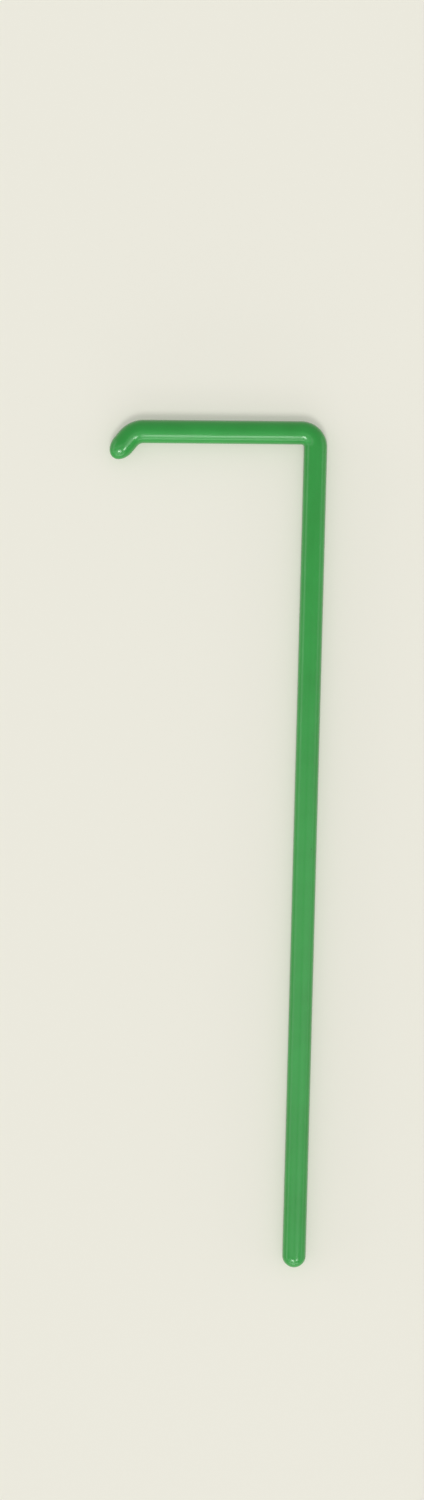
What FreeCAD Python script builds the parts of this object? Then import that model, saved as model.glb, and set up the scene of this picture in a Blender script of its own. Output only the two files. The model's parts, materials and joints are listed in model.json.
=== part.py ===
import FreeCAD, Part
import math
import os
import Sketcher

# Cell spreader: one moulded plastic rod, bent into an L, that spreads cells over an agar plate.
#
# The rod lies flat. The handle runs along Y, the blade along X, Z is up, and the origin is
# under the middle of the outline, on the surface that the rod rests on. From the handle's
# free end, at -Y, the rod runs up to the corner and turns left into the blade. The blade ends
# in a short tip, turned back to the handle's side so that it doesn't cut the agar. A nose
# closes the rod at both ends: a longish dome on the tip, and half a ball on the handle.

# Name, value in millimetres or degrees, and meaning of each driving size.
SIZES = (
    ("rod_diameter", "4.0", "the round rod, the same all along"),
    ("overall_length", "148.0", "handle's free end to outside of corner"),
    ("overall_width", "38.0", "outside of handle to end of tip"),
    ("corner_angle", "89.0", "inside angle of handle and blade"),
    ("corner_inner_radius", "0.5", "inside of the corner"),
    ("tip_angle", "129.0", "inside angle of blade and tip"),
    ("tip_inner_radius", "1.55", "inside of the bend before the tip"),
    ("tip_straight", "1.2", "straight rod from that bend to the nose"),
    ("tip_nose_length", "3.0", "the dome on the tip"),
    ("handle_nose_length", "2.0", "the dome on the handle's free end"),
)

# Formulas that bind the document to those sizes. Places are distances from the origin.
ROD_RADIUS = "Sizes.rod_diameter / 2"
CORNER_RADIUS = f"Sizes.corner_inner_radius + {ROD_RADIUS}"
TIP_RADIUS = f"Sizes.tip_inner_radius + {ROD_RADIUS}"
HANDLE_X = f"Sizes.overall_width / 2 - {ROD_RADIUS}"
FREE_END_Y = "Sizes.overall_length / 2 - Sizes.handle_nose_length"
CORNER_Y = f"Sizes.overall_length / 2 - {ROD_RADIUS} - ({CORNER_RADIUS})"

# The tip leans out from the handle's line by this angle. Seen from above, its nose is half an
# ellipse, and reaches this far past its own base towards -X.
TIP_LEAN = "(Sizes.corner_angle + Sizes.tip_angle - 180)"
NOSE_REACH = (f"sqrt(pow(Sizes.tip_nose_length * sin{TIP_LEAN}; 2)"
              f" + pow({ROD_RADIUS} * cos{TIP_LEAN}; 2))")
TIP_X = f"Sizes.overall_width / 2 - {NOSE_REACH}"

# The stretches of the route in drawing order, and the points of a line or an arc.
HANDLE, CORNER, BLADE, TIP_BEND, TIP = range(5)
START, END, CENTRE = 1, 2, 3
ORIGIN = (-1, 1)


def make_sheet(doc):
    """Write the driving sizes into a spreadsheet, one named cell each."""
    sheet = doc.addObject("Spreadsheet::Sheet", "Sizes")
    for row, (name, value, meaning) in enumerate(SIZES, start=1):
        sheet.set(f"A{row}", name)
        sheet.set(f"B{row}", value)
        sheet.set(f"C{row}", meaning)
        sheet.setAlias(f"B{row}", name)
    doc.recompute()
    return sheet


def ahead(heading):
    """The unit vector in a heading, in degrees anticlockwise from +X."""
    angle = math.radians(heading)
    return FreeCAD.Vector(math.cos(angle), math.sin(angle), 0)


def draw_straight(sketch, point, heading, length):
    """Draw a line from a point and return its far end."""
    far_end = point + ahead(heading) * length
    sketch.addGeometry(Part.LineSegment(point, far_end))
    return far_end


def draw_left_bend(sketch, point, heading, radius, inside_angle):
    """Draw an arc that turns left from a point and return its far end and new heading."""
    centre = point + ahead(heading + 90) * radius
    new_heading = heading + 180 - inside_angle
    circle = Part.Circle(centre, FreeCAD.Vector(0, 0, 1), radius)
    arc = Part.ArcOfCircle(circle, math.radians(heading - 90), math.radians(new_heading - 90))
    sketch.addGeometry(arc)
    return centre + ahead(new_heading - 90) * radius, new_heading


def add_dimension(sketch, name, kind, references, formula):
    """Add a named dimension to a sketch and bind it to its formula."""
    value = float(sketch.evalExpression(formula))
    if kind == "Angle":
        value = math.radians(value)
    index = sketch.addConstraint(Sketcher.Constraint(kind, *references, value))
    sketch.renameConstraint(index, name)
    sketch.setExpression(f"Constraints.{name}", formula)


def make_route(body, sheet):
    """The rod's centreline, drawn roughly in its place and then pinned down."""
    plane = next(item for item in body.Origin.OriginFeatures if item.Role == "XY_Plane")
    route = body.newObject("Sketcher::SketchObject", "Route")
    route.AttachmentSupport = [(plane, "")]
    route.MapMode = "FlatFace"

    corner_radius = float(route.evalExpression(CORNER_RADIUS))
    tip_radius = float(route.evalExpression(TIP_RADIUS))
    point = FreeCAD.Vector(sheet.overall_width / 2, -sheet.overall_length / 2, 0)
    heading = 90
    point = draw_straight(route, point, heading, sheet.overall_length)
    point, heading = draw_left_bend(route, point, heading, corner_radius, sheet.corner_angle)
    point = draw_straight(route, point, heading, sheet.overall_width)
    point, heading = draw_left_bend(route, point, heading, tip_radius, sheet.tip_angle)
    draw_straight(route, point, heading, sheet.tip_straight)

    for stretch in (HANDLE, CORNER, BLADE, TIP_BEND):
        route.addConstraint(Sketcher.Constraint("Tangent", stretch, END, stretch + 1, START))
    route.addConstraint(Sketcher.Constraint("Vertical", HANDLE))
    add_dimension(route, "handle_x", "DistanceX", (*ORIGIN, HANDLE, START), HANDLE_X)
    add_dimension(route, "free_end_y", "DistanceY", (HANDLE, START, *ORIGIN), FREE_END_Y)
    add_dimension(route, "corner_y", "DistanceY", (*ORIGIN, CORNER, CENTRE), CORNER_Y)
    add_dimension(route, "corner_radius", "Radius", (CORNER,), CORNER_RADIUS)
    corner_sides = (BLADE, START, HANDLE, END)
    add_dimension(route, "corner_angle", "Angle", corner_sides, "Sizes.corner_angle")
    add_dimension(route, "tip_radius", "Radius", (TIP_BEND,), TIP_RADIUS)
    tip_sides = (TIP, START, BLADE, END)
    add_dimension(route, "tip_angle", "Angle", tip_sides, "Sizes.tip_angle")
    add_dimension(route, "tip_straight", "Distance", (TIP,), "Sizes.tip_straight")
    add_dimension(route, "tip_x", "DistanceX", (TIP, END, *ORIGIN), TIP_X)
    return route


def make_rod(body, route):
    """The round rod, swept along the whole route."""
    section = body.newObject("Sketcher::SketchObject", "Section")
    section.AttachmentSupport = [(route, f"Edge{HANDLE + 1}")]
    section.MapMode = "NormalToEdge"
    section.addGeometry(Part.Circle())
    section.addConstraint(Sketcher.Constraint("Coincident", 0, CENTRE, *ORIGIN))
    add_dimension(section, "rod_diameter", "Diameter", (0,), "Sizes.rod_diameter")

    rod = body.newObject("PartDesign::AdditivePipe", "Rod")
    rod.Profile = section
    rod.Spine = (route, [f"Edge{stretch + 1}" for stretch in range(TIP + 1)])


def add_nose(body, route, name, length, stretch, at_far_end):
    """Half an ellipsoid that closes the rod at the near or far end of a stretch."""
    nose = body.newObject("PartDesign::AdditiveEllipsoid", name)
    nose.AttachmentSupport = [(route, f"Edge{stretch + 1}")]
    nose.MapMode = "NormalToEdge"
    nose.MapPathParameter = 1 if at_far_end else 0
    nose.MapReversed = at_far_end
    nose.Angle1 = 0
    nose.Angle2 = 90
    nose.setExpression("Radius1", length)
    nose.setExpression("Radius2", ROD_RADIUS)
    nose.setExpression("Radius3", ROD_RADIUS)


def make_spreader(doc, sheet):
    """The whole spreader, laid on the surface that it rests on."""
    body = doc.addObject("PartDesign::Body", "Spreader")
    body.Label = "cell_spreader"
    route = make_route(body, sheet)
    doc.recompute()
    make_rod(body, route)
    add_nose(body, route, "HandleNose", "Sizes.handle_nose_length", HANDLE, at_far_end=False)
    add_nose(body, route, "TipNose", "Sizes.tip_nose_length", TIP, at_far_end=True)
    body.setExpression("Placement.Base.z", ROD_RADIUS)
    return body


def check(doc, bodies):
    """Stop on any failed object, and on any sub-part that isn't one valid solid."""
    for item in doc.Objects:
        if "Invalid" in item.State or "Error" in item.State:
            raise RuntimeError(f"{item.Label} failed: {item.State}")
    for body in bodies:
        if body.Shape.isNull() or not body.Shape.isValid() or len(body.Shape.Solids) != 1:
            raise RuntimeError(f"{body.Label} is not one valid solid")


def export(bodies):
    """Write each sub-part to a STEP file named after it."""
    os.makedirs("parts", exist_ok=True)
    for body in bodies:
        body.Shape.exportStep(f"parts/{body.Label}.step")


def main():
    """Build the spreader, check it and write it out."""
    doc = FreeCAD.newDocument("CellSpreader")
    sheet = make_sheet(doc)
    bodies = [make_spreader(doc, sheet)]
    doc.recompute()
    check(doc, bodies)
    export(bodies)


main()
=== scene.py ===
import json
import math

import bmesh
import bpy
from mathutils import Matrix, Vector


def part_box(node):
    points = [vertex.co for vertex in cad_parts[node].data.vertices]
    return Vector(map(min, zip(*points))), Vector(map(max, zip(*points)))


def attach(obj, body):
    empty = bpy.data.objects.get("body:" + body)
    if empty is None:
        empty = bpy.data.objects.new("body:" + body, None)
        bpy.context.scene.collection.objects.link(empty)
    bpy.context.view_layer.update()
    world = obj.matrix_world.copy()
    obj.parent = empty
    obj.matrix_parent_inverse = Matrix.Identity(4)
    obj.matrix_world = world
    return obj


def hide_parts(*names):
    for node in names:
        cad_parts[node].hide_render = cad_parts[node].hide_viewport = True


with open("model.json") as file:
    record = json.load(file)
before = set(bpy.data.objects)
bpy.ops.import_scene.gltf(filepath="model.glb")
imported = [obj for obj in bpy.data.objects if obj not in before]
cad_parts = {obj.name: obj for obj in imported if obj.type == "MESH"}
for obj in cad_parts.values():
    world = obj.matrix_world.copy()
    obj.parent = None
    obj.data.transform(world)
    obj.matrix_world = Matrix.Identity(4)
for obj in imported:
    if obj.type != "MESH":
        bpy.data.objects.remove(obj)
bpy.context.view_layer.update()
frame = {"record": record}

# The L-shaped cell spreader: one moulded green plastic rod, lying flat on a pale table.
# Lengths are in metres and angles in degrees. +Y runs up the handle to the corner, +X from
# the blade's tip to the handle, and +Z up from the table.
MM = 0.001
NODE = "cell_spreader"
HANDLE_END = frame["record"]["mounts"][0]
LOW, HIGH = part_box(NODE)

# The rod's form. Its ends and its place come from the frame, and the bends are set here.
ROD_RADIUS = HANDLE_END["dims"]["r_mm"] * MM
HANDLE_X, FREE_END_Y, AXIS_Z = HANDLE_END["pos_m"]
HANDLE_NOSE = FREE_END_Y - LOW.y
CORNER_ANGLE = 89
CORNER_RADIUS = 2.5 * MM
TIP_ANGLE = 129
TIP_RADIUS = 3.55 * MM
TIP_STRAIGHT = 1.2 * MM
TIP_NOSE = 3 * MM

# How finely the rod is meshed, and the fine seam where the two halves of its mould met.
RUN_STEP = 1.5 * MM
BEND_STEP = 2.5
RING_STEP = 4
NOSE_RINGS = 18
SEAM_HEIGHT = 0.035 * MM
SEAM_HALF_WIDTH = 1.5
SEAM_ANGLES = (0, 180)
RING_ANGLES = [
    seam + step
    for seam in SEAM_ANGLES
    for step in (0, SEAM_HALF_WIDTH, *range(RING_STEP, 180, RING_STEP), 180 - SEAM_HALF_WIDTH)
]
UNBENT = "unbent"

# Colours, in linear light. The green clouds a little between its two pigments.
DEEP_GREEN = (0.0065, 0.246, 0.027, 1)
PALE_GREEN = (0.0095, 0.278, 0.0345, 1)
# The nicks' darker green is painted shade in their dents.
NICK_SHADE_GREEN = (0.006, 0.17, 0.021, 1)
TABLE = (0.84, 0.824, 0.732, 1)
BACKDROP = (0.816, 0.8, 0.711, 1)

# The plastic's fine detail: how wide each sort of mark is, and how deep. A nick's reach and its
# flat bottom are shares of the nicks' spacing.
CLOUD_SIZE = 7 * MM
SINK_SIZE = 9 * MM
SINK_DEPTH = 0.02 * MM
PEEL_SIZE = 0.5 * MM
PEEL_DEPTH = 0.0012 * MM
DRAW_LINE_SIZE = 0.14 * MM
DRAW_LINE_LENGTH = 12 * MM
DRAW_LINE_DEPTH = 0.001 * MM
NICK_SPACING = 4.5 * MM
NICK_REACH = 0.035
NICK_BOTTOM = 0.014
NICK_DEPTH = 0.03 * MM

# The plastic's gloss, in two layers: a soft sheen, rougher or smoother with the clouds and the
# draw lines, under a sharper coat. The green and the roughness each change over one stretch of
# their noise.
GREEN_STRETCH = (0.3, 0.7)
SHEEN_STRETCH = (0.7, 1.3)
SHEEN_ROUGHNESS = (0.35, 0.45)
SHEEN = 0.2
COAT = 0.6
COAT_ROUGHNESS = 0.14

# The table. It glows a little where it is seen or mirrored. That keeps its shadows faint, and
# throws no light on the object.
TABLE_HALF = 40
TABLE_ROUGHNESS = 0.9
TABLE_GLOW = 0.3

# The studio. The sky and the key only light. The key is a soft sun, and each lamp is its name,
# its compass direction and height above the table, how wide and high it looks from the object,
# all in degrees, and its radiance. The low lamps around the table light and are mirrored, and
# the cards are only mirrored in the gloss. So are the two strips, which hang level above the
# table, left and right of the view, and leave a gap between them.
SKY_LIGHT = 0.59
KEY_LIGHT = 1.12
KEY_ELEVATION = 61
KEY_WIDTH = 17
LAMP_DISTANCE = 12
LOW_LAMPS = (
    ("front", -90, 29, 60, 10, 1.2),
    ("front_low", -90, 6.5, 60, 12, 3.6),
    ("left", 180, 10, 60, 20, 1.4),
    ("right", 0, 10, 60, 20, 1.0),
)
CARDS = (
    ("key_card", -90, 35, 14, 22, 2.6),
    ("key_core", -90, 41.5, 12, 8, 5),
    ("left_soft", -130, 32, 36, 44, 1.2),
    ("left_spark", -109, 45, 20, 12, 17),
    ("right_spark", -56, 44, 13, 13, 14),
    ("right_soft", -38, 50, 20, 26, 3),
)
STRIP_SIDES = (0.6, 30)
STRIP_EDGES = (-3, 0.1)
STRIP_LIGHT = 1.2

# The camera looks straight down. Its lens and sensor are in millimetres, and its turn leans
# the handle to the left.
LENS = 85
SENSOR = 36
VIEW_REACH = 100
VIEW_HEIGHT = 262.5 * MM
VIEW_X = 0.3 * MM
VIEW_Y = 16.1 * MM
VIEW_TURN = 1.53


def direction(heading):
    """The unit vector in the plane of the rod, with its heading anticlockwise from +X."""
    angle = math.radians(heading)
    return Vector((math.cos(angle), math.sin(angle), 0))


def add_object(name, data):
    """A new object at the origin of the scene."""
    made = bpy.data.objects.new(name, data)
    bpy.context.scene.collection.objects.link(made)
    return made


def walk_route(blade_length):
    """Stations along the rod's centreline, as (point, heading), from end to end."""
    point = Vector((HANDLE_X, FREE_END_Y, AXIS_Z))
    heading = 90
    handle_length = HIGH.y - ROD_RADIUS - CORNER_RADIUS - FREE_END_Y
    stretches = (
        (handle_length, CORNER_RADIUS, 180 - CORNER_ANGLE),
        (blade_length, TIP_RADIUS, 180 - TIP_ANGLE),
        (TIP_STRAIGHT, 0, 0),
    )
    stations = [(point, heading)]
    for run, radius, turn in stretches:
        steps = max(1, math.ceil(run / RUN_STEP))
        for step in range(1, steps + 1):
            stations.append((point + direction(heading) * run * step / steps, heading))
        point = stations[-1][0]
        centre = point + direction(heading + 90) * radius
        steps = math.ceil(turn / BEND_STEP)
        for step in range(1, steps + 1):
            turned = heading + turn * step / steps
            stations.append((centre + direction(turned - 90) * radius, turned))
        point, heading = stations[-1]
    return stations


def route():
    """The walk whose blade is just long enough for the tip's nose to meet the box's side."""
    point, heading = walk_route(0)[-1]
    lean = math.radians(heading)
    nose_reach = math.hypot(TIP_NOSE * math.cos(lean), ROD_RADIUS * math.sin(lean))
    blade_run = point.x - nose_reach - LOW.x
    return walk_route(blade_run / math.cos(math.radians(90 - CORNER_ANGLE)))


def nose(base, heading, reach):
    """A nose's shrinking cross-sections, from the one after its base to the one at its tip."""
    sections = []
    for step in range(1, NOSE_RINGS + 1):
        lean = math.radians(90 * step / NOSE_RINGS)
        centre = base + direction(heading) * reach * math.sin(lean)
        sections.append((centre, heading, ROD_RADIUS * math.cos(lean)))
    return sections


def cross_sections():
    """The rod's cross-sections from nose to nose, as (centre, heading, radius)."""
    stations = route()
    handle_nose = nose(*stations[0], -HANDLE_NOSE)
    tip_nose = nose(*stations[-1], TIP_NOSE)
    between = [(point, heading, ROD_RADIUS) for point, heading in stations]
    return [*reversed(handle_nose), *between, *tip_nose]


def ring(centre, heading, radius):
    """Points around a cross-section, with the mould's seam standing proud of both its sides."""
    side = direction(heading + 90)
    points = []
    for angle in RING_ANGLES:
        turn = math.radians(angle)
        around = side * math.cos(turn) + Vector((0, 0, math.sin(turn)))
        rise = SEAM_HEIGHT * radius / ROD_RADIUS if angle in SEAM_ANGLES else 0
        points.append(centre + around * (radius + rise))
    return points


def unbent(sections):
    """Where each point would lie if the rod were straight, so that its draw lines follow it."""
    places = []
    before = sections[0][0]
    along = 0
    for centre, _, radius in sections[1:-1]:
        along += (centre - before).length
        before = centre
        for angle in RING_ANGLES:
            turn = math.radians(angle)
            places.append((along, radius * math.cos(turn), radius * math.sin(turn)))
    along += (sections[-1][0] - before).length
    return [*places, (0, 0, 0), (along, 0, 0)]


def make_rod():
    """The spreader as one closed, smooth mesh."""
    sections = cross_sections()
    mesh = bmesh.new()
    rows = [[mesh.verts.new(point) for point in ring(*section)] for section in sections[1:-1]]
    afters = [*range(1, len(RING_ANGLES)), 0]
    for row, next_row in zip(rows, rows[1:]):
        for index, after in enumerate(afters):
            mesh.faces.new((row[index], next_row[index], next_row[after], row[after]))
    for section, row in ((sections[0], rows[0]), (sections[-1], rows[-1])):
        pole = mesh.verts.new(section[0])
        for index, after in enumerate(afters):
            mesh.faces.new((pole, row[index], row[after]))
    bmesh.ops.recalc_face_normals(mesh, faces=mesh.faces)
    data = bpy.data.meshes.new("spreader_rod")
    mesh.to_mesh(data)
    mesh.free()
    data.shade_smooth()
    straight = data.attributes.new(UNBENT, "FLOAT_VECTOR", "POINT")
    straight.data.foreach_set("vector", [number for place in unbent(sections) for number in place])
    return add_object("spreader_rod", data)


class Nodes:
    """Builds the node tree of a material or of the world, a node at a time."""

    def __init__(self, owner):
        owner.use_nodes = True
        self.tree = owner.node_tree

    def given(self, kind):
        """The node of a kind that the tree has from the start."""
        return next(node for node in self.tree.nodes if node.type == kind)

    def node(self, kind, **settings):
        """A new node with its settings."""
        made = self.tree.nodes.new(kind)
        for name, value in settings.items():
            setattr(made, name, value)
        return made

    def feed(self, socket, value):
        """Links a socket to another, or sets it to a plain value."""
        if isinstance(value, bpy.types.NodeSocket):
            self.tree.links.new(value, socket)
        else:
            socket.default_value = value

    def math(self, operation, *values):
        """The result of one operation on sockets or plain numbers."""
        made = self.node("ShaderNodeMath", operation=operation)
        for socket, value in zip(made.inputs, values):
            self.feed(socket, value)
        return made.outputs["Value"]

    def noise(self, place, scale, detail=0.0):
        """Soft noise around a half, whose blots are about 1 / scale wide."""
        made = self.node("ShaderNodeTexNoise")
        self.feed(made.inputs["Vector"], place)
        self.feed(made.inputs["Scale"], scale)
        self.feed(made.inputs["Detail"], detail)
        return made.outputs["Fac"]

    def ranged(self, value, from_range, to_range):
        """A value carried over from one range to another, and held within it."""
        made = self.node("ShaderNodeMapRange")
        self.feed(made.inputs["Value"], value)
        for name, number in zip(("From Min", "From Max"), from_range):
            self.feed(made.inputs[name], number)
        for name, number in zip(("To Min", "To Max"), to_range):
            self.feed(made.inputs[name], number)
        return made.outputs["Result"]

    def mixed(self, share, first, second):
        """The first colour with a share of the second."""
        made = self.node("ShaderNodeMix", data_type="RGBA")
        self.feed(made.inputs["Factor"], share)
        colours = [socket for socket in made.inputs if socket.type == "RGBA"]
        for socket, value in zip(colours, (first, second)):
            self.feed(socket, value)
        return next(socket for socket in made.outputs if socket.type == "RGBA")

    def seen(self):
        """1 where the camera sees a surface, also in a mirror or through glass, and else 0."""
        rays = self.node("ShaderNodeLightPath").outputs
        mirrored = self.math("MAXIMUM", rays["Is Camera Ray"], rays["Is Glossy Ray"])
        return self.math("MAXIMUM", mirrored, rays["Is Transmission Ray"])


def make_plastic():
    """Glossy green moulded plastic, with faint clouds, sinks, peel, draw lines and a few nicks,
    whose dents are darkened with painted shade.
    """
    plastic = bpy.data.materials.new("moulded_green")
    nodes = Nodes(plastic)
    shader = nodes.given("BSDF_PRINCIPLED")
    place = nodes.node("ShaderNodeTexCoord").outputs["Object"]
    straight = nodes.node("ShaderNodeAttribute", attribute_name=UNBENT).outputs["Vector"]

    stretched = nodes.node("ShaderNodeMapping")
    nodes.feed(stretched.inputs["Vector"], straight)
    line_scale = (1 / DRAW_LINE_LENGTH, 1 / DRAW_LINE_SIZE, 1 / DRAW_LINE_SIZE)
    nodes.feed(stretched.inputs["Scale"], line_scale)
    lines = nodes.noise(stretched.outputs["Vector"], 1.0, 1.0)
    peel = nodes.noise(place, 1 / PEEL_SIZE, 1.0)
    sinks = nodes.noise(place, 1 / SINK_SIZE)
    clouds = nodes.noise(place, 1 / CLOUD_SIZE, 2.0)
    specks = nodes.node("ShaderNodeTexVoronoi")
    nodes.feed(specks.inputs["Vector"], place)
    nodes.feed(specks.inputs["Scale"], 1 / NICK_SPACING)
    # The nick mask sinks each dent and also lays painted shade in it.
    nick_and_shade = nodes.ranged(specks.outputs["Distance"], (NICK_BOTTOM, NICK_REACH), (1.0, 0.0))

    green = nodes.mixed(nodes.ranged(clouds, GREEN_STRETCH, (0.0, 1.0)), DEEP_GREEN, PALE_GREEN)
    # Each nick's dent is darkened with painted shade.
    nodes.feed(shader.inputs["Base Color"], nodes.mixed(nick_and_shade, green, NICK_SHADE_GREEN))
    rough = nodes.ranged(nodes.math("ADD", clouds, lines), SHEEN_STRETCH, SHEEN_ROUGHNESS)
    nodes.feed(shader.inputs["Roughness"], rough)
    nodes.feed(shader.inputs["Specular IOR Level"], SHEEN)
    nodes.feed(shader.inputs["Coat Weight"], COAT)
    nodes.feed(shader.inputs["Coat Roughness"], COAT_ROUGHNESS)

    height = nodes.math("MULTIPLY", nick_and_shade, -NICK_DEPTH)
    for texture, depth in ((sinks, SINK_DEPTH), (peel, PEEL_DEPTH), (lines, DRAW_LINE_DEPTH)):
        height = nodes.math("MULTIPLY_ADD", texture, depth, height)
    bump = nodes.node("ShaderNodeBump")
    nodes.feed(bump.inputs["Strength"], 1.0)
    nodes.feed(bump.inputs["Distance"], 1.0)
    nodes.feed(bump.inputs["Height"], height)
    nodes.feed(shader.inputs["Normal"], bump.outputs["Normal"])
    nodes.feed(shader.inputs["Coat Normal"], bump.outputs["Normal"])
    return plastic


def paint_table():
    """A plain, matt, pale finish that glows a little where it is seen or mirrored."""
    finish = bpy.data.materials.new("pale_table")
    nodes = Nodes(finish)
    shader = nodes.given("BSDF_PRINCIPLED")
    nodes.feed(shader.inputs["Base Color"], TABLE)
    nodes.feed(shader.inputs["Roughness"], TABLE_ROUGHNESS)
    nodes.feed(shader.inputs["Specular IOR Level"], 0.0)
    glow = nodes.node("ShaderNodeEmission")
    nodes.feed(glow.inputs["Color"], BACKDROP)
    blend = nodes.node("ShaderNodeMixShader")
    nodes.feed(blend.inputs["Fac"], nodes.math("MULTIPLY", nodes.seen(), TABLE_GLOW))
    nodes.feed(blend.inputs[1], shader.outputs["BSDF"])
    nodes.feed(blend.inputs[2], glow.outputs["Emission"])
    nodes.feed(nodes.given("OUTPUT_MATERIAL").inputs["Surface"], blend.outputs["Shader"])
    return finish


def make_table():
    """A flat table under the rod, far larger than the view."""
    mesh = bmesh.new()
    bmesh.ops.create_grid(mesh, x_segments=1, y_segments=1, size=TABLE_HALF)
    data = bpy.data.meshes.new("table")
    mesh.to_mesh(data)
    mesh.free()
    data.materials.append(paint_table())
    table = add_object("table", data)
    table.location.z = AXIS_Z - ROD_RADIUS


def make_world():
    """A plain studio whose pale backdrop is seen and mirrored, and whose light is plain white."""
    world = bpy.data.worlds.new("studio")
    bpy.context.scene.world = world
    nodes = Nodes(world)
    white = (SKY_LIGHT, SKY_LIGHT, SKY_LIGHT, 1)
    colour = nodes.mixed(nodes.seen(), white, BACKDROP)
    nodes.feed(nodes.given("BACKGROUND").inputs["Color"], colour)


def hang(name, light, place):
    """A light in its place, which isn't seen itself."""
    lamp = add_object(name, light)
    lamp.location = place
    lamp.visible_camera = False
    return lamp


def hang_far(name, light, azimuth, elevation):
    """A light that faces the origin from far off."""
    place = direction(azimuth) * math.cos(math.radians(elevation))
    place.z = math.sin(math.radians(elevation))
    lamp = hang(name, light, place * LAMP_DISTANCE)
    lamp.rotation_euler = place.to_track_quat("Z", "Y").to_euler()
    return lamp


def panel(name, width, height, radiance):
    """A rectangular light with an even radiance."""
    light = bpy.data.lights.new(name, "AREA")
    light.shape = "RECTANGLE"
    light.size = width
    light.size_y = height
    light.energy = radiance * math.pi * width * height
    return light


def make_key():
    """The soft sun that gives the object its shadow."""
    light = bpy.data.lights.new("key", "SUN")
    light.energy = KEY_LIGHT
    light.angle = math.radians(KEY_WIDTH)
    hang_far("key", light, -90, KEY_ELEVATION).visible_glossy = False


def make_lamp(name, azimuth, elevation, wide, high, radiance):
    """A panel that takes up so many degrees of the object's view."""
    width = 2 * LAMP_DISTANCE * math.tan(math.radians(wide / 2))
    height = 2 * LAMP_DISTANCE * math.tan(math.radians(high / 2))
    return hang_far(name, panel(name, width, height, radiance), azimuth, elevation)


def make_strip(name, side):
    """A long panel high above the table that faces down, left (-1) or right (1) of the view."""
    near, far = STRIP_SIDES
    front, back = STRIP_EDGES
    light = panel(name, far - near, back - front, STRIP_LIGHT)
    place = (side * (near + far) / 2, (front + back) / 2, LAMP_DISTANCE)
    hang(name, light, place).visible_diffuse = False


def make_camera():
    """The camera, as far above the rod's axis as its lens needs to see the view's height."""
    camera = bpy.data.cameras.new("camera")
    camera.lens = LENS
    camera.sensor_width = SENSOR
    camera.clip_end = VIEW_REACH
    eye = add_object("camera", camera)
    eye.location = (VIEW_X, VIEW_Y, AXIS_Z + VIEW_HEIGHT * LENS / SENSOR)
    eye.rotation_euler.z = math.radians(VIEW_TURN)
    bpy.context.scene.camera = eye


make_camera()
rod = make_rod()
rod.data.materials.append(make_plastic())
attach(rod, "root")
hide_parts(NODE)

make_table()
make_world()
make_key()
for lamp in LOW_LAMPS:
    make_lamp(*lamp)
for card in CARDS:
    make_lamp(*card).visible_diffuse = False
make_strip("strip_left", -1)
make_strip("strip_right", 1)
bpy.context.scene.view_settings.view_transform = "Standard"
